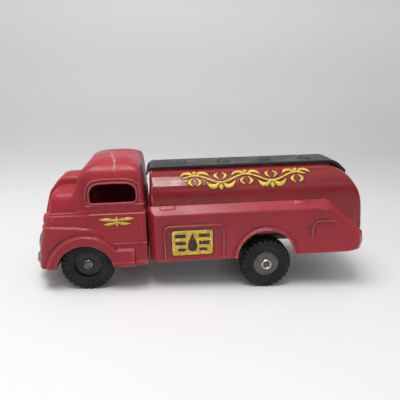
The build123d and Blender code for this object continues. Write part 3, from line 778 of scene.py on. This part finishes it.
def film(name, colour, mottle, under, missing):
    """Transfer film on enamel: mottled with age, with flakes gone down to the paint."""
    n = Nodes(name)
    body = n.mix(n.span(n.noise(210, 6), 0.35, 0.62), shade(colour, 1.08), shade(colour, 0.72))
    body = n.mix(n.span(n.noise(620, 6), 0.60, 0.67, 0, 0.85), body, mottle)
    body = n.mix(n.span(n.cells(150), 0.03, 0.01, 0, 0.35), body, mottle)
    body = n.mix(n.span(n.noise(480, 7), missing, missing + 0.03), body, under)
    rough = n.span(n.noise(90, 4), 0.3, 0.7, 0.34, 0.52)
    return n.done(body, rough, n.noise(700, 4), depth=0.00008, strength=0.35)


RED = (0.300, 0.018, 0.028)
WORN_RED = (0.44, 0.14, 0.13)
BLACK, BLACK_WORN = (0.016, 0.016, 0.017), (0.14, 0.13, 0.125)
CHASSIS, CHASSIS_WORN = (0.022, 0.022, 0.023), (0.16, 0.15, 0.14)
FINISH = {
    "red_enamel": enamel("red_enamel_aged", RED, WORN_RED, 0.31, shine=0.36),
    "black_enamel": enamel("black_enamel_aged", BLACK, BLACK_WORN, 0.34),
    "chassis_black": enamel("chassis_black_aged", CHASSIS, CHASSIS_WORN, 0.5),
    "tyre_rubber": rubber(),
    "plated_grille": metal("plated_grille_tarnished", (0.27, 0.25, 0.215),
                           (0.06, 0.053, 0.045), 0.3, 0.54),
    "zinc_steel": metal("zinc_steel_dull", (0.42, 0.42, 0.41), (0.12, 0.11, 0.10), 0.45, 0.58),
    # Drawn axle steel painted dark: its visible end stands in for the shade in the hole of the axle
    # cap.
    "axle_steel": metal("axle_steel_drawn_painted_shade", (0.10, 0.094, 0.085), (0.03, 0.025, 0.02),
                        0.5, 0.52, (1, 0.1, 1)),
    "hub_grey": metal("hub_grey_dark", (0.036, 0.035, 0.035), (0.012, 0.012, 0.012), 0.42, 0.52),
    "cap_steel": metal("cap_steel_worn", (0.17, 0.157, 0.137), (0.03, 0.026, 0.022), 0.30, 0.51),
    "ferrule_steel": metal("ferrule_steel_bright", (0.42, 0.40, 0.36), (0.08, 0.07, 0.06),
                           0.26, 0.56),
    "wheel_steel": metal("wheel_steel_dull", (0.105, 0.095, 0.082), (0.022, 0.019, 0.015),
                         0.34, 0.45),
}
ROOF_SCRATCH = (-(FRONT_AXLE[0] + 0.0155), 0.118)
CAB_ENAMEL = enamel("cab_enamel_aged", RED, WORN_RED, 0.36, scratch=ROOF_SCRATCH, shine=0.31)
# The barrel has the same red enamel, glossier and painted darker: painted shade on the barrel.
TANK_ENAMEL_SHADED = enamel("tank_enamel_glossy_shaded", (0.215, 0.007, 0.011), WORN_RED, 0.19, shine=0.5)
# Dark colour on the inner faces: painted shade for the shaded insides of the cab and the tank.
INSIDE_PAINTED_SHADE = enamel("inside_painted_shade", (0.035, 0.022, 0.020), (0.10, 0.07, 0.06), 0.6)
GOLD, BROWNED, SOOT = (0.74, 0.47, 0.045), (0.10, 0.055, 0.02), (0.02, 0.01, 0.01)
GOLD_FILM = film("transfer_gold", GOLD, BROWNED, shade(RED, 0.55), 0.63)
INK_FILM = film("transfer_ink", (0.075, 0.022, 0.02), SOOT, shade(RED, 0.8), 0.60)
BLACK_FILM = film("transfer_black", (0.016, 0.013, 0.010), (0.05, 0.03, 0.015),
                  (0.55, 0.36, 0.05), 0.645)


# ---------------------------------------------------------------- transfers
FILM = 0.12


class Transfer:
    """Thin film strips laid on a finished surface by casting rays at it."""

    def __init__(self, target, ray):
        depsgraph = bpy.context.evaluated_depsgraph_get()
        self.tree = BVHTree.FromObject(target, depsgraph)
        self.ray = ray
        self.points = []
        self.faces = []

    def strip(self, line, lift):
        """A strip along (u, v, half width) points, three points across."""
        line = curve_through(line, 40)
        way = np.gradient(line[:, :2], axis=0)
        way /= np.linalg.norm(way, axis=1)[:, None] + 1e-12
        side = np.stack([-way[:, 1], way[:, 0]], 1)
        reach = line[:, 2, None, None] * np.array([-1.0, 0.0, 1.0])[None, :, None]
        self.sheet(line[:, None, :2] + side[:, None] * reach, lift)

    def sheet(self, rows, lift):
        """A film over rows of (u, v), raised off the surface by lift."""
        first = len(self.points)
        count, across = rows.shape[:2]
        for u, v in rows.reshape(-1, 2):
            start, way = self.ray(u, v)
            hit, normal, _, _ = self.tree.ray_cast(Vector(start), Vector(way))
            if hit is None:
                hit, normal, _, _ = self.tree.find_nearest(Vector(start))
            if normal.dot(Vector(way)) > 0:
                normal = -normal
            self.points.append(hit + (normal * 0.5 - Vector(way) * 0.5).normalized() * lift)
        index = np.arange(count * across).reshape(count, across) + first
        quads = np.stack([index[:-1, :-1], index[:-1, 1:], index[1:, 1:], index[1:, :-1]], -1)
        self.faces.append(quads.reshape(-1, 4))

    def finish(self, name, material, hand):
        """Turn the film into a thin solid and hand it over."""
        points = np.array([tuple(p) for p in self.points])
        faces = np.concatenate(self.faces)
        obj = solid(name, points, faces if hand > 0 else faces[:, ::-1])
        thick = obj.modifiers.new("thick", "SOLIDIFY")
        thick.thickness = FILM
        thick.offset = 0
        apply_modifiers(obj)
        place(obj, materials=(material,))


def barrel_ray(hand):
    """u is x along the tank; v is the distance round the shoulder from where it starts."""
    def ray(u, v):
        t = v / BARREL_CORNER
        way = (0, -hand * math.cos(t), -math.sin(t))
        axis_y, axis_z = BARREL_HALF - BARREL_CORNER, BARREL_TOP - BARREL_CORNER
        start = (u, hand * (axis_y + 60 * math.cos(t)), axis_z + 60 * math.sin(t))
        return start, way
    return ray


def flank_ray(hand):
    """u is x and v is z on a flank."""
    def ray(u, v):
        return (u, hand * 90, v), (0, -hand, 0)
    return ray


VINE_START, VINE_LENGTH = 95, 128
VINE_LEVEL, VINE_SWING = 23.0, 4.4
CRESTS = 5
# Leaves and buds as (along from a crest, out from the vine, half width).
LEAVES = (((1.6, 0.4, 0.5), (6.0, 4.0, 2.2), (10.5, 3.2, 1.8), (14.5, -1.4, 0.1)),
          ((2.0, -3.4, 0.3), (5.2, -8.0, 1.5), (2.0, -12.2, 0.2)))
BUD = ((0, 1.6, 0.3), (0, 4.8, 2.2), (0, 7.6, 0.1))
# The locker panel's bars as (x from, x to, z, half width), and its drop and the door badge as
# (x, z, half width).
PANEL_BARS = ((86, 96.5, 52.6, 1.9), (109.5, 120, 52.6, 1.9), (86, 96.5, 45.2, 1.9),
              (109.5, 120, 45.2, 1.9), (88.5, 96.5, 38.2, 1.5), (109.5, 117.5, 38.2, 1.5))
PANEL_DROP = [(103, 55.4, 0.1), (103, 51.5, 1.5), (103, 46.5, 3.6), (103, 41.5, 4.6),
              (103, 38.0, 3.7), (103, 36.0, 0.4)]
BADGE = ([(15.5, 73.2, 0.3), (22, 72.9, 1.5), (30, 72.0, 1.0)],
         [(47.5, 73.2, 0.3), (41, 72.9, 1.5), (33, 72.0, 1.0)],
         [(19, 68.0, 0.3), (25, 68.3, 1.3), (30.4, 69.4, 0.7)],
         [(44, 68.0, 0.3), (38, 68.3, 1.3), (32.6, 69.4, 0.7)],
         [(31.5, 76, 0.1), (31.5, 71, 2.2), (31.5, 65.5, 0.1)])


def scroll_lines():
    """A wavy vine with leaves and buds, in (x, height round the shoulder, half width)."""
    vine = []
    for x in np.arange(VINE_START, VINE_START + VINE_LENGTH, 4.5):
        wave = math.sin((x - VINE_START) / VINE_LENGTH * CRESTS * math.pi)
        vine.append((x, VINE_LEVEL + VINE_SWING * wave, 0.95))
    vine[0] = (*vine[0][:2], 0.2)
    vine[-1] = (*vine[-1][:2], 0.2)
    lines = [vine]
    for i in range(CRESTS):
        crest_x = VINE_START + VINE_LENGTH * (0.5 + i) / CRESTS
        way = 1 if i % 2 == 0 else -1
        top = VINE_LEVEL + VINE_SWING * way
        sprigs = [(lean, leaf) for lean in (-1, 1) for leaf in LEAVES] + [(1, BUD)]
        for lean, leaf in sprigs:
            lines.append([(crest_x + lean * u, top + way * v, w) for u, v, w in leaf])
    return lines


def panel_sheet(low, high, z_low, z_high):
    """Rows of points over a rectangle with rounded corners."""
    corner = 2.2
    u = np.linspace(low, high, 61)
    inset = np.array([max(0, corner - min(a - low, high - a)) for a in u])
    inset = corner - np.sqrt(np.maximum(corner ** 2 - inset ** 2, 0))
    t = np.linspace(0, 1, 31)
    v = (z_low + inset)[:, None] + t * (z_high - z_low - 2 * inset)[:, None]
    return np.stack([np.broadcast_to(u[:, None], v.shape), v], -1)


def lay_transfers(tank, skirt, cab):
    """Scrolls on the tank, a marked panel on the skirt and a badge on the door, on both sides."""
    for side, hand in HANDS.items():
        ink, gold = Transfer(tank, barrel_ray(hand)), Transfer(tank, barrel_ray(hand))
        for line in scroll_lines():
            ink.strip([(u, v, w + 1.0) for u, v, w in line], lift=0.14)
            gold.strip(line, lift=0.26)
        ink.finish(f"tank_scroll_outline_{side}", INK_FILM, hand)
        gold.finish(f"tank_scroll_{side}", GOLD_FILM, hand)

        panel, marks = Transfer(skirt, flank_ray(hand)), Transfer(skirt, flank_ray(hand))
        border = Transfer(skirt, flank_ray(hand))
        border.sheet(panel_sheet(82.0, 124.0, 31.5, 59.0), lift=0.14)
        panel.sheet(panel_sheet(83.0, 123.0, 32.5, 58.0), lift=0.26)
        for x0, x1, level, half in PANEL_BARS:
            bar = [(x0, level, half), ((x0 + x1) / 2, level, half), (x1, level, half)]
            marks.strip(bar, lift=0.40)
        marks.strip(PANEL_DROP, lift=0.40)
        border.finish(f"locker_panel_border_{side}", BLACK_FILM, hand)
        panel.finish(f"locker_panel_{side}", GOLD_FILM, hand)
        marks.finish(f"locker_panel_marks_{side}", BLACK_FILM, hand)

        badge, rim = Transfer(cab, flank_ray(hand)), Transfer(cab, flank_ray(hand))
        for line in BADGE:
            rim.strip([(u, v, w + 0.45) for u, v, w in line], lift=0.12)
            badge.strip(line, lift=0.22)
        rim.finish(f"door_badge_outline_{side}", INK_FILM, hand)
        badge.finish(f"door_badge_{side}", GOLD_FILM, hand)


# ---------------------------------------------------------------- build
cab = make_cab()
barrel = make_barrel()
skirt = make_skirt()
lay_transfers(barrel, skirt, cab)
place(cab, (CAB_ENAMEL, INSIDE_PAINTED_SHADE), ("cab_shell",))
place(barrel, (TANK_ENAMEL_SHADED, INSIDE_PAINTED_SHADE), ("tank_barrel",))
place(skirt, (FINISH["red_enamel"], INSIDE_PAINTED_SHADE), ("tank_skirt",))
place(make_deck(), (FINISH["black_enamel"],), ("tank_deck",))
place(make_grille(), (FINISH["plated_grille"],), ("front_grille",))
for side, hand in HANDS.items():
    wheels = ((f"front_tyre_{side}", FRONT_AXLE, f"front_wheel_{side}"),
              (f"rear_tyre_{side}", REAR_AXLE, "rear_wheels"))
    for node, centre, body in wheels:
        tyre = make_tyre(node, centre, hand)
        hand_over(tyre, body, (FINISH["tyre_rubber"],), (node,))

# The CAD nodes that stay visible get a node material and a soft edge.
SOFT_EDGE = 0.00025
REPLACED = {"cab_shell", "tank_barrel", "tank_skirt", "tank_deck", "front_grille"}
for piece in record["subparts"]:
    node = frame["nodes"][piece["node"]]
    if piece["node"] in REPLACED or "_tyre_" in piece["node"]:
        continue
    node.data.materials.clear()
    bright_ring = piece["node"].startswith("rear_axle_ferrule")
    finish = "ferrule_steel" if bright_ring else piece["material_slot"]
    node.data.materials.append(FINISH[finish])
    edge = node.modifiers.new("soft_edges", "BEVEL")
    edge.width = SOFT_EDGE
    edge.segments = 2
    edge.limit_method = "ANGLE"
    edge.angle_limit = math.radians(40)


# ---------------------------------------------------------------- stage, camera and light
def backdrop():
    """A pale sheet that lies flat under the truck and sweeps up behind it, with painted shade on
    the floor towards the camera and painted light up the sweep.
    """
    bend_y, bend_r = 0.7, 0.9
    sweep = [(-2.2, 0), (bend_y, 0)]
    for t in np.linspace(0.05, math.pi / 2, 24):
        sweep.append((bend_y + bend_r * math.sin(t), bend_r - bend_r * math.cos(t)))
    sweep.append((bend_y + bend_r, 4.0))
    obj = quilt("backdrop", [[(x, y, z) for x in (-4, 4)] for y, z in sweep])
    n = Nodes("backdrop_paper")
    height = n.add("ShaderNodeSeparateXYZ")
    n.feed(height.inputs["Vector"], n.where)
    body = n.mix(n.span(n.noise(3, 4), 0.3, 0.7), (0.63, 0.635, 0.635), (0.66, 0.66, 0.66))
    # Painted shade: the floor grows darker towards and behind the camera.
    body = n.mix(n.span(height.outputs["Y"], -0.35, -0.9), body, (0.30, 0.30, 0.30))
    # Painted light: the sheet grows lighter as it rises up the sweep.
    body = n.mix(n.span(height.outputs["Z"], 0.0, 0.2), body, (0.76, 0.745, 0.745))
    body = n.mix(n.span(height.outputs["Z"], 0.15, 0.6), body, (0.98, 0.96, 0.96))
    paper = n.done(body, 0.55, n.noise(400, 3), depth=0.0001, strength=0.1)
    obj.data.materials.append(paper)


def aim_camera():
    """The photograph's viewpoint: from the left, looking down a little, with a slight tilt."""
    yaw, pitch, roll = 0.1100, 0.2923, 0.0400
    place_at = (FRONT_AXLE[0] + 0.0670, -0.4196, 0.2055)
    level = math.cos(pitch)
    forward = Vector((math.sin(yaw) * level, math.cos(yaw) * level, -math.sin(pitch)))
    right = Vector((math.cos(yaw), -math.sin(yaw), 0))
    up = right.cross(forward)
    tilted = right * math.cos(roll) + up * math.sin(roll)
    upright = up * math.cos(roll) - right * math.sin(roll)
    data = bpy.data.cameras.new("camera")
    data.lens = 36.39
    data.sensor_width = 36
    data.clip_start = 0.01
    camera = bpy.data.objects.new("camera", data)
    bpy.context.scene.collection.objects.link(camera)
    turn = Matrix((tilted, upright, -forward)).transposed().to_4x4()
    camera.matrix_world = Matrix.Translation(place_at) @ turn
    bpy.context.scene.camera = camera


def area_light(name, place_at, target, size, power, colour=(1, 1, 1)):
    """A soft rectangular lamp turned towards its target."""
    data = bpy.data.lights.new(name, "AREA")
    data.shape = "RECTANGLE"
    data.size, data.size_y = size
    data.energy = power
    data.color = colour
    lamp = bpy.data.objects.new(name, data)
    bpy.context.scene.collection.objects.link(lamp)
    lamp.location = place_at
    lamp.rotation_euler = (Vector(target) - Vector(place_at)).to_track_quat("-Z", "Y").to_euler()


def light_sky():
    """Soft surroundings, bright above and dimmer towards the horizon."""
    world = bpy.data.worlds.new("world")
    world.use_nodes = True
    tree = world.node_tree
    where = tree.nodes.new("ShaderNodeTexCoord")
    axis = tree.nodes.new("ShaderNodeSeparateXYZ")
    level = tree.nodes.new("ShaderNodeMapRange")
    tree.links.new(where.outputs["Generated"], axis.inputs["Vector"])
    tree.links.new(axis.outputs["Z"], level.inputs["Value"])
    for key, number in (("From Min", 0.0), ("From Max", 0.9), ("To Min", 0.16), ("To Max", 0.86)):
        level.inputs[key].default_value = number
    tree.links.new(level.outputs["Result"], tree.nodes["Background"].inputs["Strength"])
    tree.nodes["Background"].inputs["Color"].default_value = (0.98, 0.98, 1.0, 1)
    bpy.context.scene.world = world


backdrop()
aim_camera()
area_light("overhead", (-0.22, -0.20, 1.1), (0, 0, 0.05), (0.7, 0.45), 10.5, (1.0, 0.985, 0.97))
area_light("left", (-1.0, -0.6, 0.7), (-0.05, 0, 0.05), (0.4, 0.6), 1.3, (1.0, 0.98, 0.97))
area_light("window", (-0.12, -0.46, 1.0), (-0.05, -0.04, 0.1), (0.10, 0.14), 0.9)
area_light("front", (0.5, -1.3, 0.55), (0, 0, 0.05), (1.2, 0.6), 1.2, (0.97, 0.985, 1.0))
light_sky()
bpy.context.scene.view_settings.view_transform = "Standard"
